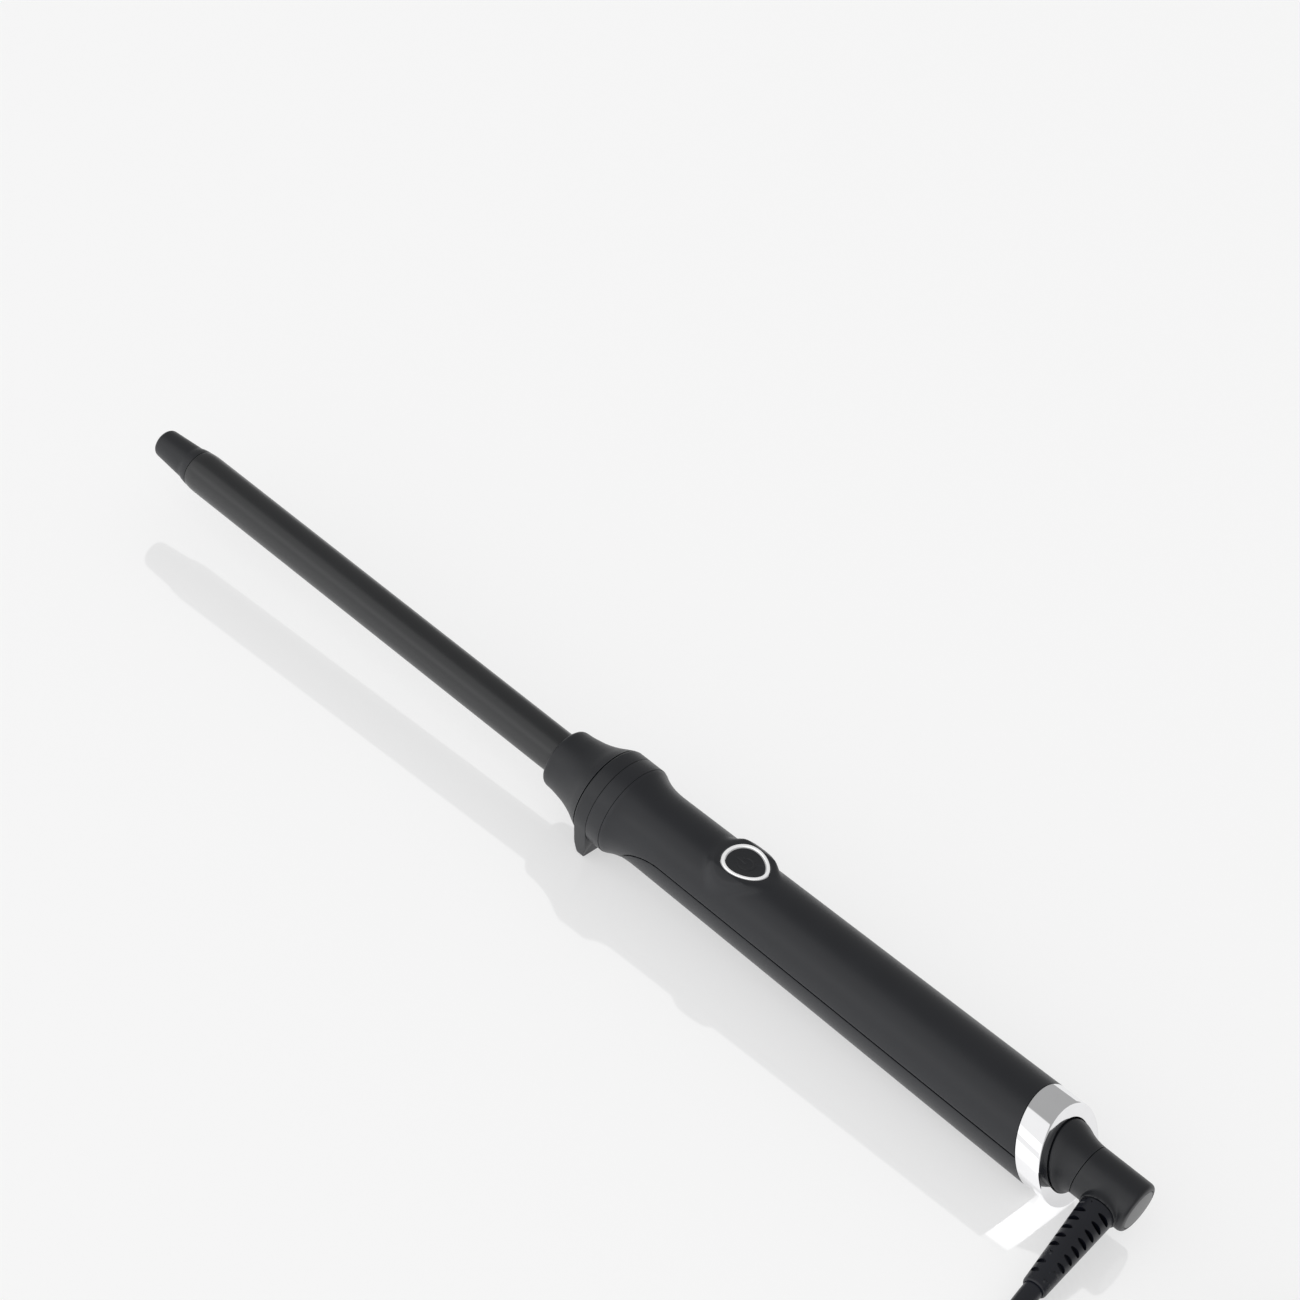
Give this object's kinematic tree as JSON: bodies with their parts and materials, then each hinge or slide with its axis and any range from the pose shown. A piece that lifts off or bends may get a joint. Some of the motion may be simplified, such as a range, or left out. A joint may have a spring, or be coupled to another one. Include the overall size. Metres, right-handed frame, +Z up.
{
  "type": "curling iron",
  "caption": "Slim clampless curling wand with a fixed stand foot, push power button, slanted chrome collar, turning cord elbow and tied mains cord with plug.",
  "frame": {"origin": "middle of the stand foot's flat underside, on the table the wand rests on", "axes": "+Z up from the table, +X along the wand from tip towards the cord elbow, so the button is on top and the foot underneath"},
  "size_m": [0.571, 0.0896, 0.0343],
  "materials": {
    "barrel_coat": "satin black coating on aluminium",
    "heat_plastic": "fine matt heat-resistant plastic",
    "handle_plastic": "soft matt black",
    "chrome": "mirror chrome",
    "cap_grey": "satin grey",
    "rubber": "matt blue-black PVC and rubber",
    "part_black": "moulded black",
    "brass": "bare",
    "steel": "plated",
    "aluminium": "extruded",
    "ceramic": "white ceramic",
    "board_green": "solder mask",
    "capacitor_blue": "sleeve",
    "lead_white": "glass-fibre and PVC insulation",
    "led_clear": "clear"
  },
  "bodies": {
    "wand": {"barrel_seat": "ceramic", "barrel_tube": "barrel_coat", "board_screw_1": "steel", "board_screw_2": "steel", "board_screw_3": "steel", "brush_holder": "heat_plastic", "brush_live": "brass", "brush_neutral": "brass", "button_bezel": "chrome", "buzzer": "part_black", "chassis": "heat_plastic", "circuit_board": "board_green", "cool_tip": "heat_plastic", "film_capacitor": "lead_white", "front_ring": "handle_plastic", "handle_body": "handle_plastic", "handle_cover": "handle_plastic", "heater_lead_live": "lead_white", "heater_lead_neutral": "lead_white", "heater_shoe_lower": "aluminium", "heater_shoe_upper": "aluminium", "heater_strip": "ceramic", "nose_cone": "heat_plastic", "push_switch": "part_black", "rear_collar": "chrome", "sensor_lead": "lead_white", "smoothing_capacitor": "capacitor_blue", "stand_flange": "heat_plastic", "status_light": "led_clear", "supply_lead_live": "lead_white", "supply_lead_neutral": "lead_white", "swivel_bell": "heat_plastic", "swivel_bush": "brass", "temperature_sensor": "ceramic", "thermal_fuse": "steel", "triac": "part_black"},
    "button": {"power_button": "heat_plastic", "button_stem": "part_black"},
    "swivel": {"cord_elbow": "heat_plastic", "elbow_cap": "cap_grey", "strain_relief": "rubber", "swivel_spindle": "steel", "retaining_clip": "steel", "contact_drum": "part_black", "slip_ring_live": "brass", "slip_ring_neutral": "brass", "cord_run": "rubber", "cord_coil": "rubber", "coil_tie": "part_black", "cord_tail": "rubber", "plug_relief": "rubber", "plug_body": "rubber", "plug_pin_1": "steel", "plug_pin_2": "steel"}
  },
  "joints": [
    {"name": "power_button_press", "type": "slide", "parent": "wand", "child": "button", "axis": [-0.0239, 0, -0.9997], "range_m": [0, 0.0006], "stiffness_N_per_m": 1200},
    {"name": "cord_swivel", "type": "hinge", "parent": "wand", "child": "swivel", "pos_m": [0.1866, 0, 0.01444], "axis": [0.9997, 0, -0.0239], "continuous": true}
  ]
}
